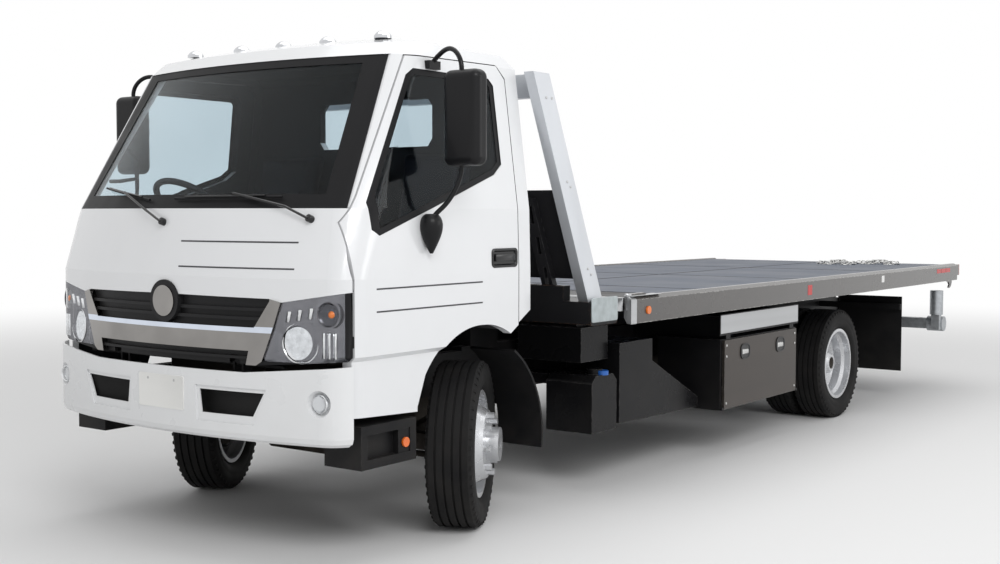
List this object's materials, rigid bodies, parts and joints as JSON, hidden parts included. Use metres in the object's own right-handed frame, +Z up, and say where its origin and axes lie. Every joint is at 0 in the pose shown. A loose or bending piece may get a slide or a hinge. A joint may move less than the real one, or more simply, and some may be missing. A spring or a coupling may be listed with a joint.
{
  "type": "flatbed tow truck",
  "caption": "Cab-over rollback tow truck with a tilting and sliding steel deck, leaning aluminium headboard posts, side toolboxes and a wheel lift under the tail.",
  "frame": {"origin": "the middle of the truck's bounding box, on the ground between its axles", "axes": "-Y is forwards, +X is the truck's left side, +Z is up"},
  "size_m": [2.5, 7.975, 2.38],
  "materials": {
    "cab_paint": "gloss",
    "bumper_paint": "gloss",
    "chassis_paint": "satin",
    "deck_paint": "gloss",
    "deck_steel": "matt",
    "galvanised": "dull",
    "bare_aluminium": "satin",
    "wheel_silver": "satin",
    "brake_iron": "rough",
    "tyre_rubber": "matt",
    "cab_glass": "clear",
    "lamp_lens": "clear",
    "black_plastic": "matt",
    "seat_cloth": "woven",
    "trim_plastic": "matt",
    "rod_chrome": "polished",
    "flap_rubber": "matt",
    "toolbox_paint": "satin"
  },
  "bodies": {
    "chassis": {"chassis_frame": "chassis_paint", "front_bumper": "bumper_paint", "front_axle_beam": "brake_iron", "leaf_springs": "chassis_paint", "rear_axle": "brake_iron", "engine_and_driveline": "brake_iron", "side_tanks": "black_plastic", "cab_steps": "black_plastic", "arch_liners": "black_plastic", "mud_flaps": "flap_rubber", "toolboxes": "toolbox_paint", "subframe": "chassis_paint", "headboard_beam": "chassis_paint", "headboard_posts": "bare_aluminium", "headboard_shield": "chassis_paint", "chassis_lamps": "lamp_lens"},
    "knuckle_left_body": {"knuckle_left": "brake_iron"},
    "knuckle_right_body": {"knuckle_right": "brake_iron"},
    "tie_rod_body": {"tie_rod": "chassis_paint"},
    "wheel_front_left": {"tyre_front_left": "tyre_rubber", "rim_front_left": "wheel_silver"},
    "wheel_front_right": {"tyre_front_right": "tyre_rubber", "rim_front_right": "wheel_silver"},
    "wheels_rear_left": {"tyres_rear_left": "tyre_rubber", "rims_rear_left": "wheel_silver"},
    "wheels_rear_right": {"tyres_rear_right": "tyre_rubber", "rims_rear_right": "wheel_silver"},
    "cab": {"cab_floor": "trim_plastic", "cab_back_wall": "cab_paint", "cab_roof": "cab_paint", "cab_pillars": "cab_paint", "cab_nose": "cab_paint", "windscreen": "cab_glass", "rear_window": "cab_glass", "grille": "black_plastic", "grille_surround": "bumper_paint", "headlamps": "lamp_lens", "headlamp_housings": "trim_plastic", "dashboard": "trim_plastic", "steering_wheel": "black_plastic", "seats": "seat_cloth", "roof_lamps": "lamp_lens"},
    "door_left_body": {"door_left": "cab_paint", "door_glass_left": "cab_glass", "mirror_left": "black_plastic"},
    "door_right_body": {"door_right": "cab_paint", "door_glass_right": "cab_glass", "mirror_right": "black_plastic"},
    "tilt_frame_body": {"tilt_frame": "chassis_paint"},
    "bed": {"deck_floor": "deck_steel", "deck_rails": "deck_paint", "winch_frame": "galvanised", "deck_lamps": "lamp_lens"},
    "drum": {"winch_drum": "galvanised"},
    "lift_boom": {"wheel_lift_boom": "galvanised"},
    "lift_crossbar": {"wheel_lift_crossbar": "galvanised"},
    "toolbox_door_left_body": {"toolbox_door_left": "toolbox_paint"},
    "toolbox_door_right_body": {"toolbox_door_right": "toolbox_paint"},
    "barrels": {"tilt_barrels": "chassis_paint"},
    "rods": {"tilt_rods": "rod_chrome"}
  },
  "joints": [
    {"name": "steer_left", "type": "hinge", "parent": "chassis", "child": "knuckle_left_body", "pos_m": [0.715, -2.8725, 0.405], "axis": [0, 0, 1], "range_deg": [-66, 10]},
    {"name": "steer_right", "type": "hinge", "parent": "chassis", "child": "knuckle_right_body", "pos_m": [-0.715, -2.8725, 0.405], "axis": [0, 0, 1], "range_deg": [-66, 10]},
    {"name": "tie_rod_swing", "type": "hinge", "parent": "knuckle_left_body", "child": "tie_rod_body", "pos_m": [0.62345, -2.70032, 0.335], "axis": [0, 0, 1], "range_deg": [-10, 66]},
    {"name": "spin_front_left", "type": "hinge", "parent": "knuckle_left_body", "child": "wheel_front_left", "pos_m": [0.81875, -2.81734, 0.405], "axis": [0.8829, 0.4695, 0], "continuous": true},
    {"name": "spin_front_right", "type": "hinge", "parent": "knuckle_right_body", "child": "wheel_front_right", "pos_m": [-0.81875, -2.92766, 0.405], "axis": [0.8829, 0.4695, 0], "continuous": true},
    {"name": "spin_rear_left", "type": "hinge", "parent": "chassis", "child": "wheels_rear_left", "pos_m": [0.825, 1.5275, 0.405], "axis": [1, 0, 0], "continuous": true},
    {"name": "spin_rear_right", "type": "hinge", "parent": "chassis", "child": "wheels_rear_right", "pos_m": [-0.825, 1.5275, 0.405], "axis": [1, 0, 0], "continuous": true},
    {"name": "cab_tilt", "type": "hinge", "parent": "chassis", "child": "cab", "pos_m": [0, -3.8525, 0.885], "axis": [1, 0, 0], "range_deg": [0, 45]},
    {"name": "door_left_swing", "type": "hinge", "parent": "cab", "child": "door_left_body", "pos_m": [0.96, -3.7445, 1.2], "axis": [0, 0, -1], "range_deg": [0, 68]},
    {"name": "door_right_swing", "type": "hinge", "parent": "cab", "child": "door_right_body", "pos_m": [-0.96, -3.7445, 1.2], "axis": [0, 0, 1], "range_deg": [0, 68]},
    {"name": "bed_tilt", "type": "hinge", "parent": "chassis", "child": "tilt_frame_body", "pos_m": [0, 3.1775, 0.868], "axis": [-1, 0, 0], "range_deg": [0, 14]},
    {"name": "bed_slide", "type": "slide", "parent": "tilt_frame_body", "child": "bed", "axis": [0, 1, 0], "range_m": [0, 2.9]},
    {"name": "winch_turn", "type": "hinge", "parent": "bed", "child": "drum", "pos_m": [0, -1.5825, 1.235], "axis": [1, 0, 0], "continuous": true},
    {"name": "lift_slide", "type": "slide", "parent": "tilt_frame_body", "child": "lift_boom", "axis": [0, 1, 0], "range_m": [0, 0.9]},
    {"name": "crossbar_swivel", "type": "hinge", "parent": "lift_boom", "child": "lift_crossbar", "pos_m": [0, 3.7825, 0.555], "axis": [0, 0, 1], "range_deg": [-30, 30]},
    {"name": "toolbox_left_drop", "type": "hinge", "parent": "chassis", "child": "toolbox_door_left_body", "pos_m": [1.091, 0.0475, 0.314], "axis": [0, 1, 0], "range_deg": [0, 95]},
    {"name": "toolbox_right_drop", "type": "hinge", "parent": "chassis", "child": "toolbox_door_right_body", "pos_m": [-1.091, 0.0475, 0.314], "axis": [0, -1, 0], "range_deg": [0, 95]},
    {"name": "barrels_swing", "type": "hinge", "parent": "chassis", "child": "barrels", "pos_m": [0, -0.4225, 0.6], "axis": [-1, 0, 0], "range_deg": [0, 18]},
    {"name": "rods_slide", "type": "slide", "parent": "barrels", "child": "rods", "axis": [0, 0.9829, 0.1844], "range_m": [0, 0.26]}
  ],
  "couplings": [
    {"joint": "steer_right", "follows": "steer_left", "ratio": 1},
    {"joint": "tie_rod_swing", "follows": "steer_left", "ratio": -1},
    {"joint": "barrels_swing", "follows": "bed_tilt", "ratio": 1.2127},
    {"joint": "rods_slide", "follows": "bed_tilt", "m_per_rad": 0.958}
  ]
}
